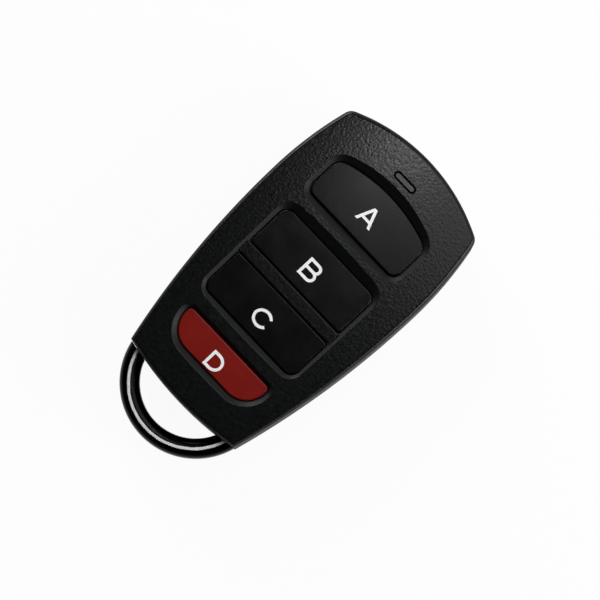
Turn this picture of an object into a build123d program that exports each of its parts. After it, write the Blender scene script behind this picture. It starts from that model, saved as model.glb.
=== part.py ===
from build123d import *
import os
from collections import namedtuple
from math import asin, cos, degrees, sin, sqrt

# Gate remote control: a hand transmitter with four keys and a metal key loop.
# Millimetres. +X points right across the keys, +Y from the loop to the lamp end,
# +Z out of the key face. The case lies on its back, centred over the origin.
# A station is a distance along Y, measured from the tip of the key loop.

os.makedirs("parts", exist_ok=True)

# Case outline
case_width = 33.9
head_width = 30.3
tail_station = 8.5
tail_bow = 1.3
head_bow = 3.6
widest_share = 0.711
corner_margin = 0.6

# Case mouldings
wall = 1.3
front_edge_radius = 0.8
back_edge_radius = 2.4
inner_edge_radius = 0.3
crown_station = 42.0
crown_across_radius = 220.0
crown_along_radius = 700.0
lip_width = 0.5
lip_height = 0.7
lip_clearance = 0.08

# Keys
key_gap = 0.2
key_recess = 0.5
key_edge_radius = 0.25
key_skin = 1.0
key_rib = 0.8
key_corner_radius = 1.6
key_inner_radius = 0.45
key_a_width = 20.8
key_a_length = 9.2
key_a_rise = 1.9
key_a_shoulder_radius = 3.3
wide_key_width = 21.2
key_b_length = 8.45
key_c_length = 8.2
bar_width = 2.25
bar_recess = 0.4
bar_edge_radius = 0.2
key_d_width = 18.8
key_d_length = 5.45
key_d_end_radius = 4.4
key_d_corner_radius = 0.8
land_between_d_and_c = 3.75
land_between_b_and_a = 4.25

# Bevelled wells round the keys
well_depth = 0.95
well_side_bevel = 1.0
well_head_bevel = 1.6
well_tail_bevel = 1.2
well_d_head_bevel = 0.4
well_edge_radius = 0.15
collar_thickness = 0.9
collar_margin = 0.4
flange_reach = 0.7
flange_thickness = 0.7
flange_clearance = 0.05
touch_clearance = 0.02

# Circuit board
board_thickness = 1.0
board_gap = 0.4

# Tact switches under the keys
switch_size = 5.2
switch_height = 3.1
switch_base_height = 2.0
switch_floor = 0.6
switch_well_radius = 2.2
switch_cover_thickness = 0.25
switch_cover_drop = 1.2
cover_tab_share = 0.6
plunger_radius = 1.5
plunger_foot_radius = 2.0
plunger_foot_thickness = 0.7
plunger_nub_radius = 0.6
plunger_clearance = 0.08
dome_radius = 2.0
dome_height = 0.45
dome_thickness = 0.12
terminal_width = 0.7
terminal_thickness = 0.2
terminal_reach = 1.0
terminal_height = 1.3
terminal_pitch = 3.2
shortest_post = 0.2
post_radius = 1.6

# Coin cell and its contacts
cell_station = 36.0
cell_radius = 10.0
cell_height = 3.2
cell_cap_radius = 8.8
cell_cap_step = 0.25
cell_edge_radius = 0.35
cell_floor_gap = 0.25
cell_fence_gap = 0.5
cell_fence_wall = 0.8
cell_fence_height = 2.4
clip_metal = 0.3
clip_width = 5.0
clip_side_gap = 0.3
clip_foot = 1.6
contact_metal = 0.25
contact_radius = 4.5
contact_slot_width = 0.7
contact_slot_length = 5.0

# Rear shell floor
rear_wall = 1.3

# Case screws
screw_radius = 1.0
screw_length = 8.0
screw_tip = 0.8
screw_point_share = 0.3
screw_head_radius = 1.75
screw_head_height = 1.3
screw_head_edge_radius = 0.35
screw_seat = 2.0
screw_clearance = 0.1
screw_hole_run_out = 0.4
screw_sink_clearance = 0.2
screw_post_radius = 2.5
screw_boss_radius = 1.9
boss_clearance = 0.25
tail_screw_inset = 3.7
head_screw_lead = 1.2
head_screw_margin = 1.9

# Support ribs along the side walls
rib_stations = (22.0, 34.0, 48.0)
rib_thickness = 1.0
rib_reach = 1.8

# Key loop
loop_outer_radius = 12.75
loop_band = 3.4
loop_height = 4.4
loop_edge_radius = 1.62
loop_seat_gap = 0.05
tongue_width = 2.0
tongue_thickness = 2.2
tongue_offset = 9.9
tongue_clearance = 0.1
eye_station = 13.0
eye_radius = 1.35
peg_radius = 0.7
peg_clearance = 0.1
peg_shoulder_radius = 1.35
clamp_post_radius = 1.2

# Lamp window, light pipe and lamp
lamp_land = 3.3
lamp_to_head = 5.5
window_length = 4.8
window_width = 1.5
window_clearance = 0.05
strip_margin = 0.38
strip_rise = 0.5
strip_recess = 0.15
pipe_ear = 1.0
pipe_ear_thickness = 0.6
lamp_length = 3.2
lamp_width = 1.6
lamp_height = 1.1
lamp_lens_height = 0.6
lamp_lens_share = 0.7
lamp_lens_taper = 8.0
lamp_gap = 0.3

# Parts soldered to the board
encoder_length = 4.9
encoder_width = 3.9
encoder_height = 1.4
encoder_leg_pitch = 1.27
encoder_leg_width = 0.4
encoder_leg_reach = 1.0
encoder_leg_thickness = 0.2
encoder_offset = 5.4
encoder_legs = 4
resonator_size = 5.0
resonator_height = 1.4
resonator_lid_inset = 0.4
resonator_base_height = 0.5
resonator_offset = 6.0
transistor_length = 2.9
transistor_width = 1.3
transistor_height = 1.0
transistor_leg_width = 0.4
transistor_leg_reach = 0.6
transistor_offset = 7.2
coil_radius = 1.4
coil_height = 1.6
coil_waist = 0.45
coil_flange = 0.4
chip_length = 1.6
chip_width = 0.8
resistor_height = 0.45
capacitor_height = 0.8
chip_pitch = 2.0
chip_columns = 3
chip_rows = 2
chip_offset = 8.0
antenna_width = 1.0
antenna_thickness = 0.1
antenna_half_span = 8.6
antenna_cell_gap = 2.5
antenna_head_inset = 0.5

# Stations, worked out from the tail to the head
tail_corner_station = tail_station + tail_bow
tail_screw_station = tail_station + tail_screw_inset
key_d_low = tail_screw_station + screw_boss_radius + boss_clearance + flange_reach + key_gap
key_c_low = key_d_low + key_d_length + land_between_d_and_c
bar_station = key_c_low + key_c_length + key_gap + bar_width / 2
key_b_low = bar_station + bar_width / 2 + key_gap
key_a_low = key_b_low + key_b_length + land_between_b_and_a
key_a_high = key_a_low + key_a_length
head_screw_station = key_a_high + head_screw_lead
head_screw_offset = key_a_width / 2 + head_screw_margin
lamp_station = key_a_high + lamp_land
overall_length = lamp_station + lamp_to_head
head_corner_station = overall_length - head_bow
widest_station = (tail_corner_station
                  + widest_share * (head_corner_station - tail_corner_station))

Key = namedtuple("Key", "low length width low_radius high_radius rise")
keys = {
    "a": Key(key_a_low, key_a_length, key_a_width,
             key_corner_radius, key_a_shoulder_radius, key_a_rise),
    "b": Key(key_b_low, key_b_length, wide_key_width,
             key_inner_radius, key_corner_radius, 0),
    "c": Key(key_c_low, key_c_length, wide_key_width,
             key_corner_radius, key_inner_radius, 0),
    "d": Key(key_d_low, key_d_length, key_d_width,
             key_d_end_radius, key_d_corner_radius, 0),
}


def along(station):
    """Y of a station measured from the loop's tip."""
    return station - overall_length / 2


def middle(key):
    """Station of the middle of a key."""
    return key.low + key.length / 2


def crown_drop(station):
    """How far the front face has fallen below its highest point at a station."""
    reach = station - crown_station
    return crown_along_radius - sqrt(crown_along_radius**2 - reach**2)


def grown(key, side, low=None, high=None):
    """The outline of a key grown by a margin, or by one margin for each side."""
    low = side if low is None else low
    high = side if high is None else high
    width = key.width + 2 * side
    return Key(key.low - low, key.length + low + high, width,
               max(key.low_radius + (low + side) / 2, key_inner_radius),
               max(key.high_radius + (high + side) / 2, key_inner_radius),
               key.rise * (width / key.width)**2)


# Levels, from the rear shell's floor up to the crown of the front face
clip_z = rear_wall + cell_floor_gap
cell_z = clip_z + clip_metal
contact_z = cell_z + cell_height
board_z = contact_z + contact_metal
board_top_z = board_z + board_thickness
plunger_top_z = board_top_z + switch_height
seam_z = board_top_z
case_thickness = (plunger_top_z + shortest_post + flange_thickness + flange_clearance
                  + collar_thickness + well_depth + crown_drop(middle(keys["d"])))

# The three wells: keys B and C share one
wide_well = Key(keys["c"].low, keys["b"].low + keys["b"].length - keys["c"].low,
                wide_key_width, key_corner_radius, key_corner_radius, 0)
well_of = {"a": keys["a"], "b": wide_well, "c": wide_well, "d": keys["d"]}


def well_floor(well):
    """Height of the floor of a well, where its bevel ends."""
    return case_thickness - crown_drop(middle(well)) - well_depth


# Outline of a key, a well or a flange, on a plane of its own


def plate(key):
    """A rounded plate with its low and high edges at two stations."""
    half = key.width / 2
    low = along(key.low)
    high = along(key.low + key.length)
    room = key.length - key.rise
    high_radius = min(key.high_radius, room / 3)
    low_radius = min(key.low_radius, room - high_radius - key_inner_radius / 2)
    with BuildSketch(mode=Mode.PRIVATE) as face:
        with BuildLine():
            Polyline((half, high - key.rise), (half, low), (-half, low), (-half, high - key.rise))
            if key.rise > 0:
                ThreePointArc((-half, high - key.rise), (0, high), (half, high - key.rise))
            else:
                Line((-half, high), (half, high))
        make_face()
        fillet(face.vertices().group_by(Axis.Y)[-1], high_radius)
        fillet(face.vertices().group_by(Axis.Y)[0], low_radius)
    return face.sketch


# The case's plan, shared by both shells and the board

loop_centre_station = loop_outer_radius
tail_half_width = sqrt(loop_outer_radius**2 - (loop_centre_station - tail_corner_station)**2)
half_width = case_width / 2
corner_radius = max(front_edge_radius, wall) + corner_margin

with BuildSketch() as case_plan:
    with BuildLine():
        TangentArc((half_width, along(widest_station)),
                   (tail_half_width, along(tail_corner_station)), tangent=(0, -1))
        TangentArc((half_width, along(widest_station)),
                   (head_width / 2, along(head_corner_station)), tangent=(0, 1))
        mirror(about=Plane.YZ)
        ThreePointArc((-tail_half_width, along(tail_corner_station)), (0, along(tail_station)),
                      (tail_half_width, along(tail_corner_station)))
        ThreePointArc((-head_width / 2, along(head_corner_station)), (0, along(overall_length)),
                      (head_width / 2, along(head_corner_station)))
    make_face()
    fillet(case_plan.vertices().group_by(Axis.Y)[-1], corner_radius)


def plan_offset(margin):
    """The case's plan grown by a margin, or shrunk by a negative one."""
    with BuildSketch(mode=Mode.PRIVATE) as changed:
        add(case_plan.sketch)
        offset(amount=margin, kind=Kind.INTERSECTION)
    return changed.sketch


def band_plan(outer, inner):
    """The band between two insets from the case's outline."""
    with BuildSketch(mode=Mode.PRIVATE) as band:
        add(plan_offset(-outer))
        add(plan_offset(-inner), mode=Mode.SUBTRACT)
    return band.sketch


def rib_plan():
    """Ribs that stand in from both side walls at the rib stations."""
    with BuildSketch(mode=Mode.PRIVATE) as ribs:
        with Locations(*[(0, along(station)) for station in rib_stations]):
            Rectangle(case_width, rib_thickness)
        add(band_plan(wall / 2, wall + rib_reach), mode=Mode.INTERSECT)
    return ribs.sketch


screw_places = [
    (0, along(tail_screw_station)),
    (-head_screw_offset, along(head_screw_station)),
    (head_screw_offset, along(head_screw_station)),
]
tongue_places = [
    (-tongue_offset, along(eye_station)),
    (tongue_offset, along(eye_station)),
]


# The crown: a barrel far larger than the case, whose top is the front face's double curve

crown_edge_drop = crown_across_radius - sqrt(crown_across_radius**2 - case_width**2)
rim_radius = crown_along_radius - crown_edge_drop
core_radius = crown_along_radius - 3 * case_thickness


def crown(depth=0):
    """A block whose top lies a depth below the front face's curve."""
    centre = (0, along(crown_station), case_thickness - crown_along_radius - depth)
    with BuildPart(mode=Mode.PRIVATE) as block:
        with BuildSketch(Plane(origin=centre, x_dir=(1, 0, 0), z_dir=(0, 1, 0))):
            with BuildLine():
                bow = Bezier((-case_width, rim_radius), (0, crown_along_radius + crown_edge_drop),
                             (case_width, rim_radius))
                Polyline(bow @ 1, (case_width, core_radius), (-case_width, core_radius), bow @ 0)
            make_face()
        revolve(axis=Axis(centre, (1, 0, 0)))
    return block.part


def top_edges(part):
    """The edges round the highest face of a part."""
    return part.faces().sort_by(Axis.Z)[-1].edges()


# Front shell

with BuildPart() as front_cavity:
    with BuildSketch(Plane.XY.offset(seam_z)):
        add(plan_offset(-wall))
    extrude(amount=case_thickness)
    add(crown(wall), mode=Mode.INTERSECT)
    fillet(top_edges(front_cavity), inner_edge_radius)
    # the cavity goes round the collars of the wells
    for well in (keys["a"], wide_well, keys["d"]):
        with BuildSketch(Plane.XY.offset(well_floor(well) - collar_thickness)):
            add(plate(grown(well, key_gap + well_side_bevel + collar_margin,
                            low=key_gap + well_tail_bevel + collar_margin,
                            high=key_gap + well_side_bevel + collar_margin)))
        extrude(amount=case_thickness, mode=Mode.SUBTRACT)
    # and round the ribs, the screw bosses and the posts that clamp the loop
    with BuildSketch(Plane.XY.offset(board_top_z)):
        add(rib_plan())
        with Locations(*screw_places):
            Circle(screw_boss_radius)
    extrude(amount=case_thickness, mode=Mode.SUBTRACT)
    with BuildSketch(Plane.XY.offset(seam_z + tongue_thickness / 2 + tongue_clearance)):
        with Locations(*tongue_places):
            Circle(clamp_post_radius)
    extrude(amount=case_thickness, mode=Mode.SUBTRACT)


def well_cut(well, head_bevel):
    """The bevelled cut of a well, run on to twice its depth to clear the crown."""
    opening = grown(well, key_gap)
    mouth = grown(opening, 2 * well_side_bevel, low=2 * well_tail_bevel, high=2 * head_bevel)
    with BuildPart(mode=Mode.PRIVATE) as cut:
        with BuildSketch(Plane.XY.offset(well_floor(well))):
            add(plate(opening))
        with BuildSketch(Plane.XY.offset(well_floor(well) + 2 * well_depth)):
            add(plate(mouth))
        loft(ruled=True)
    return cut.part


with BuildPart() as cross_bar:
    with BuildSketch(Plane.XY.offset(well_floor(wide_well) - collar_thickness)):
        with Locations((0, along(bar_station))):
            Rectangle(wide_key_width + 2 * key_gap, bar_width)
    extrude(amount=case_thickness)
    add(crown(bar_recess), mode=Mode.INTERSECT)
    fillet(top_edges(cross_bar).filter_by(Axis.Y, reverse=True), bar_edge_radius)

with BuildPart() as front_shell:
    with BuildSketch(Plane.XY.offset(seam_z)):
        add(case_plan.sketch)
    extrude(amount=case_thickness)
    add(crown(), mode=Mode.INTERSECT)
    fillet(top_edges(front_shell), front_edge_radius)
    add(front_cavity.part, mode=Mode.SUBTRACT)
    add(well_cut(keys["a"], well_head_bevel), mode=Mode.SUBTRACT)
    add(well_cut(wide_well, well_head_bevel), mode=Mode.SUBTRACT)
    add(well_cut(keys["d"], well_d_head_bevel), mode=Mode.SUBTRACT)
    mouths = front_shell.faces().sort_by(Axis.Z)[-1].inner_wires()
    fillet([edge for mouth in mouths for edge in mouth.edges()], well_edge_radius)
    for key in keys.values():
        with BuildSketch(Plane.XY.offset(seam_z)):
            add(plate(grown(key, key_gap)))
        extrude(amount=case_thickness, mode=Mode.SUBTRACT)
    add(cross_bar.part)
    # lamp window
    with BuildSketch(Plane.XY.offset(seam_z)):
        with Locations((0, along(lamp_station))):
            SlotOverall(window_length, window_width)
    extrude(amount=case_thickness, mode=Mode.SUBTRACT)
    # groove for the rear shell's lip
    with BuildSketch(Plane.XY.offset(seam_z)):
        add(band_plan(wall - lip_width - lip_clearance, wall + lip_clearance))
    extrude(amount=lip_height + lip_clearance, mode=Mode.SUBTRACT)
    # half of each notch that the loop's tongues pass through
    with BuildSketch(Plane.XY.offset(seam_z)):
        with Locations(*[(x, along(tail_corner_station)) for x, y in tongue_places]):
            Rectangle(tongue_width + 2 * tongue_clearance, 3 * wall)
    extrude(amount=tongue_thickness / 2 + tongue_clearance, mode=Mode.SUBTRACT)
    # pilot holes
    with BuildSketch(Plane.XY.offset(seam_z)):
        with Locations(*screw_places):
            Circle(screw_radius + touch_clearance)
    extrude(amount=screw_seat + screw_length + screw_hole_run_out - seam_z, mode=Mode.SUBTRACT)

# Rear shell

with BuildPart() as rear_cavity:
    with BuildSketch(Plane.XY.offset(rear_wall)):
        add(plan_offset(-wall))
    extrude(amount=seam_z)
    fillet(rear_cavity.faces().sort_by(Axis.Z)[0].edges(), back_edge_radius - wall)
    # the cavity goes round the ribs, the screw posts and the pegs
    with BuildSketch():
        add(rib_plan())
    extrude(amount=board_z, mode=Mode.SUBTRACT)
    with BuildSketch():
        with Locations(*screw_places):
            Circle(screw_post_radius)
    extrude(amount=seam_z, mode=Mode.SUBTRACT)
    with BuildSketch():
        with Locations(*tongue_places):
            Circle(peg_shoulder_radius)
    extrude(amount=seam_z - tongue_thickness / 2 - tongue_clearance, mode=Mode.SUBTRACT)
    with BuildSketch():
        with Locations(*tongue_places):
            Circle(peg_radius)
    extrude(amount=seam_z, mode=Mode.SUBTRACT)
    # and round the fence that keeps the cell in place
    fence_radius = cell_radius + cell_fence_gap
    with BuildSketch():
        with Locations((0, along(cell_station))):
            Circle(fence_radius + cell_fence_wall)
            Circle(fence_radius, mode=Mode.SUBTRACT)
            Rectangle(case_width, clip_width + 2 * cell_fence_gap, mode=Mode.SUBTRACT)
    extrude(amount=rear_wall + cell_fence_height, mode=Mode.SUBTRACT)

with BuildPart() as rear_shell:
    with BuildSketch():
        add(case_plan.sketch)
    extrude(amount=seam_z)
    fillet(rear_shell.faces().sort_by(Axis.Z)[0].edges(), back_edge_radius)
    add(rear_cavity.part, mode=Mode.SUBTRACT)
    # the lip that locates the front shell
    with BuildSketch(Plane.XY.offset(seam_z)):
        add(band_plan(wall - lip_width, wall))
    extrude(amount=lip_height)
    # the pegs stand through the loop's eyes
    with BuildSketch(Plane.XY.offset(seam_z)):
        with Locations(*tongue_places):
            Circle(peg_radius)
    extrude(amount=tongue_thickness / 2)
    # the other half of each notch
    with BuildSketch(Plane.XY.offset(seam_z - tongue_thickness / 2 - tongue_clearance)):
        with Locations(*[(x, along(tail_corner_station)) for x, y in tongue_places]):
            Rectangle(tongue_width + 2 * tongue_clearance, 3 * wall)
    extrude(amount=tongue_thickness, mode=Mode.SUBTRACT)
    # screw holes, with the heads sunk below the back
    with Locations(*[(x, y, 0) for x, y in screw_places]):
        Hole(screw_radius + screw_clearance)
    with BuildSketch():
        with Locations(*screw_places):
            Circle(screw_head_radius + screw_sink_clearance)
    extrude(amount=screw_seat, mode=Mode.SUBTRACT)

# Key loop: a ring cut off at the case's end, with an eyed tongue inside each notch

loop_turn = asin((loop_centre_station - tail_corner_station) / loop_outer_radius)
loop_centre = (0, along(loop_centre_station), seam_z)

with BuildPart() as key_loop:
    with BuildSketch(Plane(origin=loop_centre, x_dir=(cos(loop_turn), -sin(loop_turn), 0),
                           z_dir=(-sin(loop_turn), -cos(loop_turn), 0))):
        with Locations((loop_outer_radius - loop_band / 2, 0)):
            RectangleRounded(loop_band, loop_height, loop_edge_radius)
    revolve(axis=Axis(loop_centre, (0, 0, -1)), revolution_arc=180 - 2 * degrees(loop_turn))
    with BuildSketch(Plane.XY.offset(seam_z - loop_height)):
        add(plan_offset(loop_seat_gap))
    extrude(amount=2 * loop_height, mode=Mode.SUBTRACT)
    with BuildSketch(Plane.XY.offset(seam_z - tongue_thickness / 2)):
        with Locations(*[(x, along((tail_station + eye_station) / 2)) for x, y in tongue_places]):
            Rectangle(tongue_width, eye_station - tail_station)
        with Locations(*tongue_places):
            Circle(eye_radius)
            Circle(peg_radius + peg_clearance, mode=Mode.SUBTRACT)
    extrude(amount=tongue_thickness)


# Keys: crowned caps with a retaining flange, a ribbed hollow back and a post


def key_cap(key, well):
    """The cap of one key, standing on the plunger of its switch."""
    place = (0, along(middle(key)))
    flange_z = well_floor(well) - collar_thickness - flange_clearance - flange_thickness
    hollow_top_z = case_thickness - crown_drop(middle(key)) - key_recess - key_skin
    with BuildPart() as cap:
        with BuildSketch(Plane.XY.offset(flange_z)):
            add(plate(key))
        extrude(amount=case_thickness)
        add(crown(key_recess), mode=Mode.INTERSECT)
        fillet(top_edges(cap), key_edge_radius)
        with BuildSketch(Plane.XY.offset(flange_z)):
            add(plate(grown(key, key_gap + flange_reach)))
        extrude(amount=flange_thickness)
        with BuildSketch(Plane.XY.offset(flange_z)):
            add(plate(grown(key, -key_skin)))
            with Locations(place):
                Rectangle(key.width, key_rib, mode=Mode.SUBTRACT)
                Rectangle(key_rib, key.length, mode=Mode.SUBTRACT)
                Circle(post_radius, mode=Mode.SUBTRACT)
        extrude(amount=hollow_top_z - flange_z, mode=Mode.SUBTRACT)
        with BuildSketch(Plane.XY.offset(plunger_top_z + touch_clearance)):
            with Locations(place):
                Circle(post_radius)
        extrude(amount=flange_z - plunger_top_z - touch_clearance)
    return cap.part


# Light pipe in the lamp window, held by two ears under the shell

lamp_place = (0, along(lamp_station))
window_z = case_thickness - crown_drop(lamp_station)
strip_z = window_z - strip_recess - strip_rise

with BuildPart() as light_pipe:
    with BuildSketch(Plane.XY.offset(board_top_z + lamp_height + lamp_gap)):
        with Locations(lamp_place):
            SlotOverall(window_length - 2 * window_clearance, window_width - 2 * window_clearance)
    extrude(amount=strip_z - board_top_z - lamp_height - lamp_gap)
    # the raised strip that shows, with a groove left round it
    with BuildSketch(Plane.XY.offset(strip_z)):
        with Locations(lamp_place):
            SlotOverall(window_length - 2 * strip_margin, window_width - 2 * strip_margin)
    extrude(amount=strip_rise)
    ear_top_z = window_z - wall - 2 * flange_clearance
    with BuildSketch(Plane.XY.offset(ear_top_z - pipe_ear_thickness)):
        with Locations(lamp_place):
            Rectangle(window_length + 2 * pipe_ear, window_width - 2 * window_clearance)
    extrude(amount=pipe_ear_thickness)

# Indicator lamp on the board, under the light pipe

with BuildPart() as indicator_lamp:
    with BuildSketch(Plane.XY.offset(board_top_z)):
        with Locations(lamp_place):
            Rectangle(lamp_length, lamp_width)
    extrude(amount=lamp_height - lamp_lens_height)
    with BuildSketch(Plane.XY.offset(board_top_z + lamp_height - lamp_lens_height)):
        with Locations(lamp_place):
            Rectangle(lamp_length * lamp_lens_share, lamp_width)
    extrude(amount=lamp_lens_height, taper=lamp_lens_taper)

# Case screws, put in from the back

with BuildPart() as case_screws:
    upright = (Align.CENTER, Align.CENTER, Align.MIN)
    with Locations(*[(x, y, screw_seat - screw_head_height) for x, y in screw_places]):
        Cylinder(screw_head_radius, screw_head_height, align=upright)
    fillet(case_screws.faces().sort_by(Axis.Z)[:len(screw_places)].edges(), screw_head_edge_radius)
    with Locations(*[(x, y, screw_seat) for x, y in screw_places]):
        Cylinder(screw_radius, screw_length - screw_tip, align=upright)
    with Locations(*[(x, y, screw_seat + screw_length - screw_tip) for x, y in screw_places]):
        Cone(screw_radius, screw_radius * screw_point_share, screw_tip, align=upright)

# Circuit board, notched round the screw posts

with BuildPart() as circuit_board:
    board_tail_station = tail_screw_station + screw_post_radius + board_gap
    notch_station = head_screw_station - screw_post_radius - board_gap
    notch_offset = head_screw_offset - screw_post_radius - board_gap
    with BuildSketch(Plane.XY.offset(board_z)):
        add(plan_offset(-wall - board_gap))
        with Locations((0, along(board_tail_station / 2))):
            Rectangle(case_width, board_tail_station, mode=Mode.SUBTRACT)
        with Locations((notch_offset, along(notch_station))):
            Rectangle(case_width, overall_length, align=(Align.MIN, Align.MIN),
                      mode=Mode.SUBTRACT)
        mirror(about=Plane.YZ, mode=Mode.INTERSECT)
    extrude(amount=board_thickness)


# Tact switches: base, snap dome, plunger and steel cover


def switch_base(place):
    """The moulded base, with a round well for the dome."""
    with BuildPart() as base:
        with BuildSketch(Plane.XY.offset(board_top_z)):
            with Locations(place):
                Rectangle(switch_size, switch_size)
        extrude(amount=switch_base_height)
        with BuildSketch(Plane.XY.offset(board_top_z + switch_floor)):
            with Locations(place):
                Circle(switch_well_radius)
        extrude(amount=switch_base_height - switch_floor, mode=Mode.SUBTRACT)
    return base.part


def snap_dome(place):
    """The bowed steel disc that clicks and lifts the plunger."""
    x, y = place
    outer = (dome_radius**2 + dome_height**2) / (2 * dome_height)
    inner = outer - dome_thickness
    sunk = outer - dome_height
    inner_radius = sqrt(inner**2 - sunk**2)
    half = dome_radius / 2
    with BuildPart() as dome:
        with BuildSketch(Plane(origin=(x, y, board_top_z + switch_floor), x_dir=(1, 0, 0),
                               z_dir=(0, -1, 0))):
            with BuildLine():
                ThreePointArc((0, dome_height), (half, sqrt(outer**2 - half**2) - sunk),
                              (dome_radius, 0))
                ThreePointArc((0, dome_height - dome_thickness),
                              (half, sqrt(inner**2 - half**2) - sunk), (inner_radius, 0))
                Line((dome_radius, 0), (inner_radius, 0))
                Line((0, dome_height), (0, dome_height - dome_thickness))
            make_face()
        revolve(axis=Axis((x, y, 0), (0, 0, 1)))
    return dome.part


def switch_plunger(place):
    """The plunger: a nub on the dome, a foot under the cover and a stem through it."""
    foot_top_z = board_top_z + switch_base_height - flange_clearance
    foot_z = foot_top_z - plunger_foot_thickness
    nub_z = board_top_z + switch_floor + dome_height + touch_clearance
    with BuildPart() as plunger:
        for low_z, high_z, radius in ((nub_z, foot_z, plunger_nub_radius),
                                      (foot_z, foot_top_z, plunger_foot_radius),
                                      (foot_top_z, plunger_top_z, plunger_radius)):
            with BuildSketch(Plane.XY.offset(low_z)):
                with Locations(place):
                    Circle(radius)
            extrude(amount=high_z - low_z)
    return plunger.part


def switch_cover(place):
    """The steel cover, folded down over two sides of the base."""
    x, y = place
    cover_z = board_top_z + switch_base_height
    with BuildPart() as cover:
        with BuildSketch(Plane.XY.offset(cover_z)):
            with Locations(place):
                Rectangle(switch_size, switch_size + 2 * switch_cover_thickness)
                Circle(plunger_radius + plunger_clearance, mode=Mode.SUBTRACT)
        extrude(amount=switch_cover_thickness)
        with BuildSketch(Plane.XY.offset(cover_z)):
            with Locations(place):
                with GridLocations(0, switch_size + switch_cover_thickness, 1, 2):
                    Rectangle(switch_size * cover_tab_share, switch_cover_thickness)
        extrude(amount=-switch_cover_drop)
    return cover.part


key_places = [(0, along(middle(key))) for key in keys.values()]

with BuildPart() as switch_terminals:
    foot_offset = switch_size / 2 + terminal_reach / 2
    riser_offset = switch_size / 2 + terminal_thickness / 2
    with BuildSketch(Plane.XY.offset(board_top_z)):
        with Locations(*key_places):
            with GridLocations(2 * foot_offset, terminal_pitch, 2, 2):
                Rectangle(terminal_reach, terminal_width)
    extrude(amount=terminal_thickness)
    with BuildSketch(Plane.XY.offset(board_top_z)):
        with Locations(*key_places):
            with GridLocations(2 * riser_offset, terminal_pitch, 2, 2):
                Rectangle(terminal_thickness, terminal_width)
    extrude(amount=terminal_height)

# Coin cell, held between a folded clip and a flat contact under the board

cell_place = (0, along(cell_station))

with BuildPart() as coin_cell:
    with BuildSketch(Plane.XY.offset(cell_z)):
        with Locations(cell_place):
            Circle(cell_radius)
    extrude(amount=cell_height - cell_cap_step)
    fillet(coin_cell.edges().filter_by(GeomType.CIRCLE), cell_edge_radius)
    with BuildSketch(Plane.XY.offset(cell_z + cell_height - cell_cap_step)):
        with Locations(cell_place):
            Circle(cell_cap_radius)
    extrude(amount=cell_cap_step)

with BuildPart() as battery_clip:
    clip_side = cell_radius + clip_side_gap
    with BuildSketch(Plane.XZ.offset(-along(cell_station) - clip_width / 2)):
        with BuildLine():
            Polyline((0, clip_z), (clip_side + clip_metal, clip_z),
                     (clip_side + clip_metal, board_z - clip_metal),
                     (clip_side + clip_foot, board_z - clip_metal), (clip_side + clip_foot, board_z),
                     (clip_side, board_z), (clip_side, clip_z + clip_metal),
                     (0, clip_z + clip_metal), (0, clip_z))
        make_face()
        mirror(about=Plane.YZ)
    extrude(amount=clip_width)

with BuildPart() as battery_contact:
    with BuildSketch(Plane.XY.offset(contact_z)):
        with Locations(cell_place):
            Circle(contact_radius)
            with GridLocations(contact_radius, 0, 2, 1):
                SlotOverall(contact_slot_length, contact_slot_width, rotation=90,
                            mode=Mode.SUBTRACT)
    extrude(amount=contact_metal)

# Parts soldered to the front of the board

chip_station = (middle(keys["a"]) + middle(keys["b"])) / 2
passive_station = (middle(keys["b"]) + middle(keys["c"])) / 2

with BuildPart() as encoder_chip:
    encoder_place = (-encoder_offset, along(chip_station))
    with BuildSketch(Plane.XY.offset(board_top_z + encoder_leg_thickness)):
        with Locations(encoder_place):
            Rectangle(encoder_width, encoder_length)
    extrude(amount=encoder_height - encoder_leg_thickness)
    with BuildSketch(Plane.XY.offset(board_top_z)):
        with Locations(encoder_place):
            with GridLocations(0, encoder_leg_pitch, 1, encoder_legs):
                Rectangle(encoder_width + 2 * encoder_leg_reach, encoder_leg_width)
    extrude(amount=encoder_leg_thickness)

with BuildPart() as resonator:
    resonator_place = (resonator_offset, along(chip_station))
    with BuildSketch(Plane.XY.offset(board_top_z)):
        with Locations(resonator_place):
            Rectangle(resonator_size, resonator_size)
    extrude(amount=resonator_base_height)
    with BuildSketch(Plane.XY.offset(board_top_z + resonator_base_height)):
        with Locations(resonator_place):
            RectangleRounded(resonator_size - 2 * resonator_lid_inset,
                             resonator_size - 2 * resonator_lid_inset, resonator_lid_inset)
    extrude(amount=resonator_height - resonator_base_height)

with BuildPart() as rf_transistor:
    transistor_place = (transistor_offset, along(middle(keys["a"])))
    with BuildSketch(Plane.XY.offset(board_top_z)):
        with Locations(transistor_place):
            Rectangle(transistor_width, transistor_length)
    extrude(amount=transistor_height)
    with BuildSketch(Plane.XY.offset(board_top_z)):
        with Locations(transistor_place):
            with Locations((transistor_width / 2, 0)):
                Rectangle(2 * transistor_leg_reach, transistor_leg_width)
            with GridLocations(0, transistor_length - 2 * transistor_leg_width, 1, 2):
                with Locations((-transistor_width / 2, 0)):
                    Rectangle(2 * transistor_leg_reach, transistor_leg_width)
    extrude(amount=encoder_leg_thickness)

with BuildPart() as tuning_coil:
    coil_place = (-transistor_offset, along(middle(keys["a"])))
    for low_z, height, radius in ((0, coil_flange, coil_radius),
                                  (coil_flange, coil_height - 2 * coil_flange,
                                   coil_radius - coil_waist),
                                  (coil_height - coil_flange, coil_flange, coil_radius)):
        with BuildSketch(Plane.XY.offset(board_top_z + low_z)):
            with Locations(coil_place):
                Circle(radius)
        extrude(amount=height)


def chip_group(offset_x, height):
    """A grid of small two-ended chips on the board."""
    with BuildPart() as group:
        with BuildSketch(Plane.XY.offset(board_top_z)):
            with Locations((offset_x, along(passive_station))):
                with GridLocations(chip_pitch, chip_pitch, chip_columns, chip_rows):
                    Rectangle(chip_width, chip_length)
        extrude(amount=height)
    return group.part


# Printed antenna on the back of the board

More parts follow.
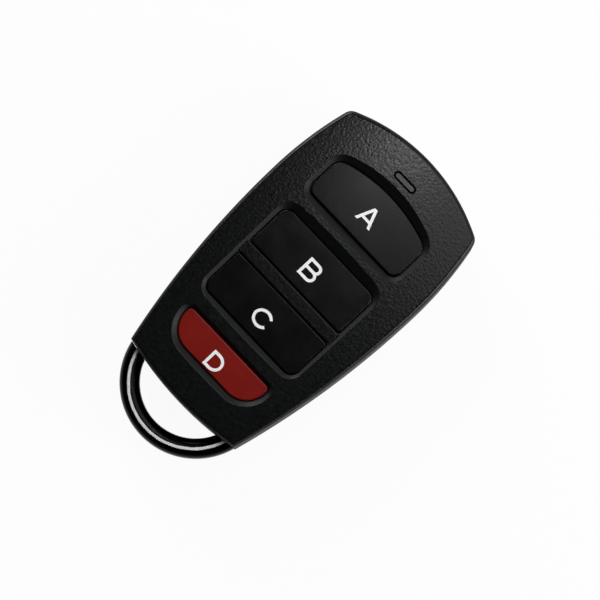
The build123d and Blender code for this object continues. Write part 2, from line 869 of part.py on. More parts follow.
with BuildPart() as antenna_loop:
    antenna_low = cell_station + cell_radius + antenna_cell_gap
    antenna_high = head_corner_station - antenna_head_inset
    antenna_length = antenna_high - antenna_low
    antenna_middle = (antenna_high + antenna_low) / 2
    with BuildSketch(Plane.XY.offset(board_z)):
        with Locations((0, along(antenna_middle))):
            Rectangle(2 * antenna_half_span, antenna_length)
        with Locations((0, along(antenna_middle - antenna_width))):
            Rectangle(2 * antenna_half_span - 2 * antenna_width, antenna_length,
                      mode=Mode.SUBTRACT)
    extrude(amount=-antenna_thickness)


# Every piece under its own name

pieces = {
    "front_shell": front_shell.part,
    "rear_shell": rear_shell.part,
    "key_loop": key_loop.part,
    "light_pipe": light_pipe.part,
    "indicator_lamp": indicator_lamp.part,
    "case_screws": case_screws.part,
    "circuit_board": circuit_board.part,
    "switch_terminals": switch_terminals.part,
    "coin_cell": coin_cell.part,
    "battery_clip": battery_clip.part,
    "battery_contact": battery_contact.part,
    "encoder_chip": encoder_chip.part,
    "resonator": resonator.part,
    "rf_transistor": rf_transistor.part,
    "tuning_coil": tuning_coil.part,
    "chip_resistors": chip_group(chip_offset, resistor_height),
    "chip_capacitors": chip_group(-chip_offset, capacitor_height),
    "antenna_loop": antenna_loop.part,
}
for letter, key in keys.items():
    place = (0, along(middle(key)))
    pieces[f"key_{letter}"] = key_cap(key, well_of[letter])
    pieces[f"switch_base_{letter}"] = switch_base(place)
    pieces[f"snap_dome_{letter}"] = snap_dome(place)
    pieces[f"switch_plunger_{letter}"] = switch_plunger(place)
    pieces[f"switch_cover_{letter}"] = switch_cover(place)

for name, part in pieces.items():
    part.label = name
    export_step(part, f"parts/{name}.step")
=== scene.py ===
import math

import bmesh
import bpy
from bpy.props import FloatProperty, FloatVectorProperty, PointerProperty
from mathutils import Matrix, Vector
from mathutils.bvhtree import BVHTree


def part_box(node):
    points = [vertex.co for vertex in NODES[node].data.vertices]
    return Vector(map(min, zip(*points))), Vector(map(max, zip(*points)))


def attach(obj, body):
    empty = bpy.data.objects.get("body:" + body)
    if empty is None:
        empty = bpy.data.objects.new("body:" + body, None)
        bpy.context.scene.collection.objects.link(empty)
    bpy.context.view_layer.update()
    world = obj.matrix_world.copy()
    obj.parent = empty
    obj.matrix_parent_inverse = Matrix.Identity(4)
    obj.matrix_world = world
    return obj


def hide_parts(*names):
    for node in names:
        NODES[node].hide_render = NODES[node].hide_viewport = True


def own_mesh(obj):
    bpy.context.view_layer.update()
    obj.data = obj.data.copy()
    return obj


bl_info = {
    "name": "Gate remote control",
    "version": (1, 0, 0),
    "blender": (4, 5, 0),
    "location": "3D View > Sidebar > Remote",
    "description": "Dresses a four-key gate remote control: grained case, keys, legends, "
                   "key loop, screws and the board inside",
    "category": "Object",
}

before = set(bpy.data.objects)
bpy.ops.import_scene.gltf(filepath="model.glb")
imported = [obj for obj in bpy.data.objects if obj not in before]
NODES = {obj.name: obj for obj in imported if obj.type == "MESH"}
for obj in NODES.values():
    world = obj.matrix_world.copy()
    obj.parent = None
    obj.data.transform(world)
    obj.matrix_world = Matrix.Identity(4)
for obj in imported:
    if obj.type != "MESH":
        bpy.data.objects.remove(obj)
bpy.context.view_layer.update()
KEYS = ("a", "b", "c", "d")
MM = 0.001
# points of a mesh that lie closer together than this are one point
MERGE = 1e-7


# Sizes and colours

def size(name, description, default):
    """A length in metres that shows in the sidebar with its unit."""
    return FloatProperty(name=name, description=description, default=default, min=0.0,
                         precision=5, subtype="DISTANCE", unit="LENGTH")


def share(name, description, default):
    """A value from 0 to 1."""
    return FloatProperty(name=name, description=description, default=default, min=0.0,
                         max=1.0, subtype="FACTOR")


def angle(name, description, degrees):
    """An angle, given in degrees."""
    return FloatProperty(name=name, description=description, default=math.radians(degrees),
                         subtype="ANGLE", unit="ROTATION")


def colour(name, description, default):
    """A linear colour."""
    return FloatVectorProperty(name=name, description=description, default=default, size=3,
                               min=0.0, max=1.0, subtype="COLOR")


class CaseLook(bpy.types.PropertyGroup):
    plastic: colour("Plastic", "Colour of the moulded case", (0.0032, 0.0035, 0.0037))
    grain: size("Grain size", "Width of one pebble of the moulded grain", 0.00044)
    grain_depth: size("Grain depth", "Height of the moulded grain", 0.000023)
    roughness: share("Roughness", "Roughness of the grained face", 0.215)
    side_roughness: share("Side roughness", "Roughness of the duller side walls", 0.62)
    seam_width: size("Seam width", "Width of the line where the two shells meet", 0.00022)
    seam_depth: size("Seam depth", "Depth of the line where the two shells meet", 0.00008)


class KeyLook(bpy.types.PropertyGroup):
    black: colour("Black keys", "Colour of the keys A to C", (0.0020, 0.0022, 0.0025))
    red: colour("Red key", "Colour of the key D", (0.190, 0.0100, 0.0074))
    roughness: share("Roughness", "Roughness of the key tops", 0.23)
    texture: size("Texture size", "Width of the fine texture on the keys", 0.00016)


class LegendLook(bpy.types.PropertyGroup):
    ink: colour("Ink", "Colour of the printed legends", (0.95, 0.95, 0.94))
    height: size("Height", "Usual height of a legend", 0.00335)
    width: size("Width", "Usual width of a legend", 0.0032)
    stroke: size("Stroke", "Width of a legend's strokes", 0.00051)
    thickness: size("Ink thickness", "How far the ink stands on the key", 0.00003)


class LoopLook(bpy.types.PropertyGroup):
    plating: colour("Plating", "Colour of the darkened plating", (0.009, 0.009, 0.010))
    # the crest colour is a painted highlight: a cream-white line that stands in for an overhead
    # lamp's reflection on the loop's crest
    crest: colour("Crest", "Colour of the bright metal along the crest", (0.96, 0.95, 0.91))
    crest_radius: size("Crest radius", "Radius of the bright line round the loop's centre",
                       0.01092)
    crest_width: size("Crest width", "Width of the bright line", 0.00048)
    roughness: share("Roughness", "Roughness of the plating", 0.20)


class ScrewLook(bpy.types.PropertyGroup):
    metal: colour("Metal", "Colour of the zinc plating", (0.52, 0.52, 0.53))
    head_radius: size("Head radius", "Radius of the screw head", 0.00175)
    head_height: size("Head height", "Height of the screw head", 0.0013)
    chamfer: size("Chamfer", "Chamfer round the screw head", 0.0003)
    recess_length: size("Recess length", "Length of each arm of the cross recess, end to end",
                        0.0021)
    recess_width: size("Recess width", "Width of the cross recess", 0.00042)
    recess_depth: size("Recess depth", "Depth of the cross recess", 0.0008)
    shank_radius: size("Shank radius", "Radius over the thread", 0.001)
    shank_length: size("Shank length", "Length from the head to the point", 0.008)
    pitch: size("Pitch", "Pitch of the thread", 0.0008)


class StageLook(bpy.types.PropertyGroup):
    azimuth: angle("Azimuth", "Direction the camera looks from", 45.0)
    elevation: angle("Elevation", "Height of the camera's view", 85.0)
    roll: angle("Roll", "Turn of the camera about its own axis", 1.58)
    distance: size("Camera distance", "Distance from the camera to its aim", 0.60)
    view_width: size("View width", "Width that the frame shows at the aim", 0.1012)
    aim: FloatVectorProperty(name="Aim", description="Point that the camera looks at",
                             default=(0.00149, 0.00218, 0.0), size=3, subtype="TRANSLATION",
                             unit="LENGTH")
    floor: colour("Floor", "Colour of the floor", (0.90, 0.90, 0.90))
    floor_glow: share("Floor glow", "How much of the floor's white doesn't depend on the lamps",
                      0.94)


GROUPS = {"case": CaseLook, "keys": KeyLook, "legends": LegendLook, "loop": LoopLook,
          "screws": ScrewLook, "stage": StageLook}


def look(group):
    """The current sizes and colours of one group."""
    return getattr(bpy.context.scene, f"remote_{group}")


# Node trees

class Tree:
    """A node tree under construction."""

    def __init__(self, tree):
        self.tree = tree

    def feed(self, socket, value):
        """Links an output to a socket, or sets the socket to a plain value."""
        if isinstance(value, bpy.types.NodeSocket):
            self.tree.links.new(value, socket)
        else:
            socket.default_value = value

    def node(self, kind, inputs=None, **settings):
        """A new node with its settings, and with values or outputs for its inputs."""
        made = self.tree.nodes.new(kind)
        for name, value in settings.items():
            setattr(made, name, value)
        for socket, value in (inputs or {}).items():
            self.feed(made.inputs[socket], value)
        return made

    def calc(self, operation, first, second=0.0):
        """Arithmetic on one or two values, each a number or an output."""
        made = self.node("ShaderNodeMath", {0: first, 1: second}, operation=operation)
        return made.outputs["Value"]

    def axis(self, vector, name):
        """The X, Y or Z of a vector."""
        return self.node("ShaderNodeSeparateXYZ", {"Vector": vector}).outputs[name]

    def spread(self, source, low, high, from_low=0.0, from_high=1.0, smooth=False):
        """A value moved from one range to another, and held within it."""
        made = self.node("ShaderNodeMapRange",
                         {"Value": source, "From Min": from_low, "From Max": from_high,
                          "To Min": low, "To Max": high},
                         clamp=True, interpolation_type="SMOOTHSTEP" if smooth else "LINEAR")
        return made.outputs["Result"]


# nearly all of a noise lies between these values
NOISE_RANGE = (0.3, 0.7)


class Finish(Tree):
    """A material under construction and its surface shader."""

    def __init__(self, name, base, roughness, metallic=0.0, **fixed):
        self.material = bpy.data.materials.new(name)
        self.material.use_nodes = True
        self.material.diffuse_color = (*base, 1.0)
        super().__init__(self.material.node_tree)
        self.shader = self.tree.nodes["Principled BSDF"]
        self.base = base
        self.roughness = roughness
        self.to("Base Color", (*base, 1.0))
        self.to("Roughness", roughness)
        self.to("Metallic", metallic)
        for socket, value in fixed.items():
            self.to(socket.replace("_", " "), value)
        self.place = self.node("ShaderNodeTexCoord").outputs["Object"]

    def to(self, socket, value):
        """Gives the shader a plain value or an output."""
        self.feed(self.shader.inputs[socket], value)

    def noise(self, width, detail=3.0, roughness=0.55):
        """Noise whose lumps are about as wide as the given length."""
        made = self.node("ShaderNodeTexNoise", {"Vector": self.place, "Scale": 1.0 / width,
                                                "Detail": detail, "Roughness": roughness})
        return made.outputs["Fac"]

    def pebbles(self, width):
        """Pebbles about as wide as the given length."""
        made = self.node("ShaderNodeTexVoronoi", {"Vector": self.place, "Scale": 1.0 / width},
                         feature="SMOOTH_F1")
        return made.outputs["Distance"]

    def wander(self, noise, low, high):
        """A value that follows noise between two limits."""
        return self.spread(noise, low, high, *NOISE_RANGE)

    def mix(self, factor, first, second):
        """A colour between two, each a colour or a colour output."""
        first, second = ((*tone, 1.0) if isinstance(tone, tuple) else tone
                         for tone in (first, second))
        # the colours of this node are its inputs 6 and 7, the mixed colour its output 2
        made = self.node("ShaderNodeMix", {0: factor, 6: first, 7: second}, data_type="RGBA")
        return made.outputs[2]

    def bump(self, height, depth, below=None):
        """A bump of the given depth in metres, over another one if it is given."""
        made = self.node("ShaderNodeBump", {"Strength": 1.0, "Distance": depth,
                                            "Height": height})
        if below is not None:
            self.feed(made.inputs["Normal"], below)
        return made.outputs["Normal"]

    def dent(self, marks, depth):
        """Presses marks into the whole surface."""
        self.to("Normal", self.bump(marks, depth))

    def rubbed(self, marks, smoother, rougher):
        """A roughness that follows marks, from a little smoother to a little rougher."""
        return self.wander(marks, self.roughness - smoother, self.roughness + rougher)

    def mottle(self, width, amount):
        """Lets the base colour wander a little over the surface."""
        dark = tuple(c * (1.0 - amount) for c in self.base)
        light = tuple(min(1.0, c * (1.0 + amount)) for c in self.base)
        tone = self.mix(self.wander(self.noise(width), 0.0, 1.0), dark, light)
        self.to("Base Color", tone)
        return tone


# Pieces

def finish_node(name, finish):
    """Gives a CAD node its finish in every material slot."""
    node = NODES[name]
    if not node.material_slots:
        node.data.materials.append(finish.material)
    for slot in node.material_slots:
        slot.link = "OBJECT"
        slot.material = finish.material


def surface_of(name):
    """A ray-cast tree of a CAD node's mesh."""
    data = NODES[name].data
    points = [v.co.copy() for v in data.vertices]
    return BVHTree.FromPolygons(points, [tuple(p.vertices) for p in data.polygons])


def new_piece(name, mesh, material, body):
    """A finished piece: its mesh in the frame's own coordinates, riding on a body."""
    piece = bpy.data.objects.new(name, mesh)
    bpy.context.scene.collection.objects.link(piece)
    mesh.materials.clear()
    mesh.materials.append(material)
    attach(piece, body)
    return piece


# Finishes of the plastic pieces

# widths of the creases and of the fine grain, as shares of the grain's size
CREASE_WIDTH, FINE_WIDTH = 1.1, 0.7
# heights of the pebbles, the creases and the fine grain, as shares of the grain's depth
PEBBLE_HEIGHT, CREASE_HEIGHT, FINE_HEIGHT = 0.7, 0.6, 0.4
# painted light and shade on the grain: how many times as light as the rest the tops of the grain
# would be, how far the colour goes towards that, and the values of the creases' noise between
# which it does; the creases stay darker as painted shade
PAINTED_TOPS_TONE, PAINTED_TOPS_SHARE, PAINTED_TOPS_RANGE = 2.0, 0.8, (0.35, 0.65)
# upright part of the normal up to which a surface is a wall, and from which it is a face
WALL_SLOPE, FACE_SLOPE = 0.70, 0.97
# how much the roughness wanders over the face, and how much rougher the seam is
FACE_WANDER, SEAM_DULLNESS = 0.05, 0.3


def case_finish():
    """Black case plastic with a pebbled mould grain, its tops painted lighter and its creases
    darker as light and shade, and the line where the shells meet.
    """
    sizes = look("case")
    made = Finish("Grained case plastic", tuple(sizes.plastic), sizes.roughness,
                  Specular_IOR_Level=0.28)
    tone = made.mottle(width=6 * MM, amount=0.10)
    creases = made.noise(sizes.grain * CREASE_WIDTH, detail=4.0, roughness=0.6)
    # painted light and shade: the grain's tops are lightened and its creases left darker, so
    # that the grain reads under soft light
    tops = tuple(PAINTED_TOPS_TONE * c for c in made.base)
    made.to("Base Color", made.mix(made.spread(creases, 0.0, PAINTED_TOPS_SHARE, *PAINTED_TOPS_RANGE), tone,
                                   tops))
    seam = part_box("front_shell")[0].z
    off_seam = made.calc("ABSOLUTE", made.calc("SUBTRACT", made.axis(made.place, "Z"), seam))
    proud = made.spread(off_seam, 0.0, 1.0, 0.0, sizes.seam_width / 2, smooth=True)
    height = made.calc("ADD", made.calc("MULTIPLY", made.pebbles(sizes.grain), PEBBLE_HEIGHT),
                       made.calc("MULTIPLY", creases, CREASE_HEIGHT))
    coarse = made.bump(height, sizes.grain_depth, below=made.bump(proud, sizes.seam_depth))
    fine = made.noise(sizes.grain * FINE_WIDTH, roughness=0.6)
    made.to("Normal", made.bump(fine, sizes.grain_depth * FINE_HEIGHT, below=coarse))
    face = made.rubbed(creases, smoother=FACE_WANDER, rougher=FACE_WANDER)
    normal = made.node("ShaderNodeNewGeometry").outputs["True Normal"]
    flat = made.spread(made.calc("ABSOLUTE", made.axis(normal, "Z")), 0.0, 1.0, WALL_SLOPE,
                       FACE_SLOPE, smooth=True)
    dull = made.calc("ADD", made.spread(flat, sizes.side_roughness, 0.0),
                     made.spread(proud, SEAM_DULLNESS, 0.0))
    made.to("Roughness", made.calc("ADD", made.calc("MULTIPLY", face, flat), dull))
    return made


def key_finish(name, base):
    """Satin key plastic with a very fine spark-eroded texture and faint rub marks."""
    sizes = look("keys")
    made = Finish(name, base, sizes.roughness, Specular_IOR_Level=0.22)
    made.mottle(width=4 * MM, amount=0.08)
    made.dent(made.noise(sizes.texture), depth=5.0e-6)
    marks = made.noise(3.5 * MM, roughness=0.5)
    made.to("Roughness", made.rubbed(marks, smoother=0.03, rougher=0.04))
    return made


class REMOTE_OT_case(bpy.types.Operator):
    """Gives both shells their grained black plastic"""
    bl_idname = "remote.case"
    bl_label = "Finish the case"

    def execute(self, context):
        finish = case_finish()
        for name in ("front_shell", "rear_shell"):
            finish_node(name, finish)
        return {"FINISHED"}


class REMOTE_OT_keys(bpy.types.Operator):
    """Gives the keys their satin plastic, red for the last one"""
    bl_idname = "remote.keys"
    bl_label = "Finish the keys"

    def execute(self, context):
        sizes = look("keys")
        black = key_finish("Black key plastic", tuple(sizes.black))
        red = key_finish("Red key plastic", tuple(sizes.red))
        for letter in KEYS:
            finish_node(f"key_{letter}", red if letter == "d" else black)
        return {"FINISHED"}


# Printed legends

# for each legend: its middle, and its width and height as shares of the usual ones
LEGENDS = {"a": (0.00002, 0.01929, 1.06, 1.00), "b": (-0.00003, 0.00605, 0.98, 1.05),
           "c": (0.00005, -0.00522, 1.04, 0.98), "d": (0.00010, -0.01585, 0.94, 0.93)}
# the A's half top and the thickness of its bar, as shares of the stroke, and the height of
# the bar above the foot, as a share of half the letter's height
A_TOP, A_BAR, A_BAR_HEIGHT = 0.62, 0.92, 0.44
# the B's waist as a share of half its height, and where its bowls begin and how much narrower
# the upper one is, as shares of half its width
B_WAIST, B_BEND, B_INSET = 0.05, 0.28, 0.07
# the angle in degrees from the C's middle line to the end of its stroke
C_GAP = 34.0
# where the D's bowl begins, as a share of half its width
D_BEND = -0.12
# straight pieces in which an arc is drawn
ARC_STEPS = 20
# how far the edge of the ink reaches down from its top, as a share of its thickness
INK_EDGE = 1.6


def bow(middle_x, middle_y, radius_x, radius_y, start, end):
    """Points along an arc of an ellipse, from one angle in degrees to another."""
    angles = [math.radians(start + (end - start) * i / ARC_STEPS)
              for i in range(ARC_STEPS + 1)]
    return [(middle_x + radius_x * math.cos(t), middle_y + radius_y * math.sin(t))
            for t in angles]


def bowl(left, bend, right, low, high):
    """The outline of a bowl: straight at the left, a half ellipse at the right."""
    middle = (low + high) / 2
    return [(left, low), *bow(bend, middle, right - bend, (high - low) / 2, -90, 90),
            (left, high)]


def legend_outlines(letter, half_width, half_height, stroke):
    """The outer outline of a plain capital and then those of its counters."""
    left, right, low, high = -half_width, half_width, -half_height, half_height
    if letter == "a":
        apex = A_TOP * stroke
        lean = (half_width - apex) / (2 * half_height)
        across = stroke * math.hypot(1.0, lean)
        bar_low = low + A_BAR_HEIGHT * half_height
        bar_high = bar_low + A_BAR * stroke

        def inner(y):
            return left + (y - low) * lean + across

        outer = [(left, low), (inner(low), low), (inner(bar_low), bar_low),
                 (-inner(bar_low), bar_low), (-inner(low), low), (right, low), (apex, high),
                 (-apex, high)]
        peak = low + (half_width - across) / lean
        return [outer, [(inner(bar_high), bar_high), (-inner(bar_high), bar_high), (0.0, peak)]]
    if letter == "b":
        waist = B_WAIST * half_height
        bar_low, bar_high = waist - stroke / 2, waist + stroke / 2
        bend, upper_right = B_BEND * half_width, right - B_INSET * half_width
        upper = bowl(left, bend, upper_right, bar_low, high)
        lower = bowl(left, bend, right, low, bar_high)
        outer = [p for p in lower[:-1] if p[1] <= waist] + [p for p in upper[1:] if p[1] > waist]
        return [outer,
                bowl(left + stroke, bend, upper_right - stroke, bar_high, high - stroke),
                bowl(left + stroke, bend, right - stroke, low + stroke, bar_low)]
    if letter == "c":
        radius = 2 * half_width / (1 + math.cos(math.radians(C_GAP)))
        middle, ends = left + radius, (C_GAP, 360.0 - C_GAP)
        return [bow(middle, 0.0, radius, half_height, *ends)
                + bow(middle, 0.0, radius - stroke, half_height - stroke, *reversed(ends))]
    bend = D_BEND * half_width
    return [bowl(left, bend, right, low, high),
            bowl(left + stroke, bend, right - stroke, low + stroke, high - stroke)]


def legend_mesh(letter, sizes):
    """One capital, flat, over its place on the key."""
    middle_x, middle_y, wide, high = LEGENDS[letter]
    work = bmesh.new()
    for outline in legend_outlines(letter, wide * sizes.width / 2, high * sizes.height / 2,
                                   sizes.stroke):
        corners = [work.verts.new((middle_x + x, middle_y + y, 0.0)) for x, y in outline]
        for first, second in zip(corners, corners[1:] + corners[:1]):
            work.edges.new((first, second))
    bmesh.ops.triangle_fill(work, edges=work.edges[:], use_beauty=True)
    mesh = bpy.data.meshes.new(f"legend_{letter}")
    work.to_mesh(mesh)
    work.free()
    return mesh


def ink_finish():
    """Pad-printed ink, slightly uneven, with a soft sheen."""
    made = Finish("Legend ink", tuple(look("legends").ink), roughness=0.42)
    made.mottle(width=0.5 * MM, amount=0.04)
    made.dent(made.noise(0.12 * MM), depth=4.0e-6)
    return made


def laid_on(mesh, surface, thickness):
    """Lays a flat mesh on a surface, closes its edge down into it and thickens it."""
    work = bmesh.new()
    work.from_mesh(mesh)
    bmesh.ops.remove_doubles(work, verts=work.verts, dist=MERGE)
    for vertex in work.verts:
        hit = surface.ray_cast(Vector((vertex.co.x, vertex.co.y, 1.0)), Vector((0, 0, -1)))[0]
        if hit is None:
            raise RuntimeError("a legend reaches past its key")
        vertex.co.z = hit.z + thickness
    bmesh.ops.recalc_face_normals(work, faces=work.faces)
    if sum(face.normal.z for face in work.faces) < 0:
        bmesh.ops.reverse_faces(work, faces=work.faces)
    raised = bmesh.ops.extrude_face_region(work, geom=work.faces[:])
    lower = [e for e in raised["geom"] if isinstance(e, bmesh.types.BMVert)]
    bmesh.ops.translate(work, verts=lower, vec=(0.0, 0.0, -INK_EDGE * thickness))
    bmesh.ops.recalc_face_normals(work, faces=work.faces)
    work.to_mesh(mesh)
    work.free()


class REMOTE_OT_legends(bpy.types.Operator):
    """Prints one plain channel letter on each key"""
    bl_idname = "remote.legends"
    bl_label = "Print the legends"

    def execute(self, context):
        sizes = look("legends")
        ink = ink_finish()
        for letter in KEYS:
            mesh = legend_mesh(letter, sizes)
            laid_on(mesh, surface_of(f"key_{letter}"), sizes.thickness)
            new_piece(f"legend_{letter}", mesh, ink.material, f"key_{letter}")
        return {"FINISHED"}


# Key loop and lamp window

# how far the painted highlight along the crest strays to either side, and the width over which
# its edges fade
LINE_STRAY, LINE_FADE = 0.05 * MM, 0.16 * MM
# depths below the loop's top between which the painted highlight fades in, so that only the top
# of the loop carries it
LINE_START = (0.9 * MM, 0.6 * MM)
# how metallic the painted highlight is, and how much rougher than the plating
LINE_METALLIC, LINE_DULLNESS = 0.20, 0.15
# depths below the window's top between which its plastic goes over from painted black shade,
# which stands for the dark groove round the raised strip, to clear
PAINTED_SHADE_DEPTHS = (0.30 * MM, 0.12 * MM)


class REMOTE_OT_loop(bpy.types.Operator):
    """Gives the key loop its darkened plating, with a painted highlight along the crest"""
    bl_idname = "remote.loop"
    bl_label = "Finish the key loop"

    def execute(self, context):
        sizes = look("loop")
        low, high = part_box("key_loop")
        centre = Vector((0.0, low.y + (high.x - low.x) / 2, 0.0))
        made = Finish("Darkened loop plating", tuple(sizes.plating), sizes.roughness,
                      metallic=1.0)
        moved = made.node("ShaderNodeMapping", {"Vector": made.place, "Location": -centre})
        across, along, up = (made.axis(moved.outputs["Vector"], axis) for axis in "XYZ")
        squares = [made.calc("POWER", made.calc("ABSOLUTE", part), 2.0)
                   for part in (across, along)]
        radius = made.calc("POWER", made.calc("ADD", *squares), 0.5)
        # the bright line is a painted highlight: a pale colour along the top of the crest, where
        # an overhead lamp's reflection would lie
        stray = made.wander(made.noise(2.2 * MM), -LINE_STRAY, LINE_STRAY)
        off = made.calc("ABSOLUTE", made.calc("SUBTRACT", made.calc("ADD", radius, stray),
                                              sizes.crest_radius))
        half = sizes.crest_width / 2
        line = made.spread(off, 1.0, 0.0, half - LINE_FADE / 2, half + LINE_FADE / 2,
                           smooth=True)
        top = made.spread(up, 0.0, 1.0, *(high.z - depth for depth in LINE_START), smooth=True)
        painted_highlight = made.calc("MULTIPLY", line, top)
        made.to("Base Color", made.mix(painted_highlight, tuple(sizes.plating), tuple(sizes.crest)))
        made.to("Metallic", made.spread(painted_highlight, 1.0, LINE_METALLIC))
        scratches = made.noise(0.3 * MM, detail=4.0)
        rubbed = made.rubbed(scratches, smoother=0.05, rougher=0.08)
        made.to("Roughness", made.calc("ADD", rubbed,
                                       made.calc("MULTIPLY", painted_highlight, LINE_DULLNESS)))
        made.dent(scratches, depth=3.0e-6)
        finish_node("key_loop", made)
        return {"FINISHED"}


class REMOTE_OT_window(bpy.types.Operator):
    """Gives the lamp window its smoky clear plastic, painted black low down as shade in the
    groove round its strip, and the lamp its resin
    """
    bl_idname = "remote.window"
    bl_label = "Finish the lamp window"

    def execute(self, context):
        pipe = Finish("Smoky lamp window", (0.070, 0.073, 0.073), roughness=0.22,
                      Transmission_Weight=0.25, IOR=1.5, Specular_IOR_Level=0.3)
        pipe.dent(pipe.noise(0.35 * MM), depth=6.0e-6)
        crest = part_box("light_pipe")[1].z
        # painted shade: the window's plastic is black and fully rough below the strip's top,
        # standing for the deep dark groove round it
        clear_above_painted_shade = pipe.spread(pipe.axis(pipe.place, "Z"), 0.0, 1.0,
                            *(crest - depth for depth in PAINTED_SHADE_DEPTHS), smooth=True)
        clear = pipe.mottle(width=1.5 * MM, amount=0.1)
        pipe.to("Base Color", pipe.mix(clear_above_painted_shade, (0.001, 0.001, 0.001), clear))
        pipe.to("Roughness", pipe.spread(clear_above_painted_shade, 1.0, pipe.roughness))
        finish_node("light_pipe", pipe)
        lamp = Finish("Lamp resin", (0.80, 0.74, 0.55), roughness=0.25,
                      Transmission_Weight=0.3)
        lamp.mottle(width=0.6 * MM, amount=0.08)
        lamp.dent(lamp.noise(0.2 * MM), depth=4.0e-6)
        finish_node("indicator_lamp", lamp)
        return {"FINISHED"}


# Case screws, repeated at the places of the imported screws

def screw_places():
    """The middle of each screw head's outer face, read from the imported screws."""
    points = [v.co for v in NODES["case_screws"].data.vertices]
    low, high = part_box("case_screws")
    reach = (high.x - low.x) / 4
    rows = ([p for p in points if p.x < -reach], [p for p in points if abs(p.x) <= reach],
            [p for p in points if p.x > reach])
    places = []
    for row in rows:
        xs = [p.x for p in row]
        ys = [p.y for p in row]
        places.append(Vector(((min(xs) + max(xs)) / 2, (min(ys) + max(ys)) / 2, low.z)))
    return places


# the sizes of a screw, which are inputs of its node tree
SCREW_SIZES = tuple(name for name in ScrewLook.__annotations__ if name != "metal")
# half the width of the thread's ridge, as a share of the pitch
RIDGE = 0.3
# radius of the point's end, as a share of the core's
POINT_END = 0.4
# sides of the head and of the shank, and straight pieces in a turn of the thread
HEAD_SIDES, SHANK_SIDES, TURN_STEPS = 48, 32, 24
# the screws have more points than this, unless their tree has failed
FEWEST_POINTS = 300


def title(name):
    """The label of a screw's size in the node tree."""
    return name.replace("_", " ").capitalize()


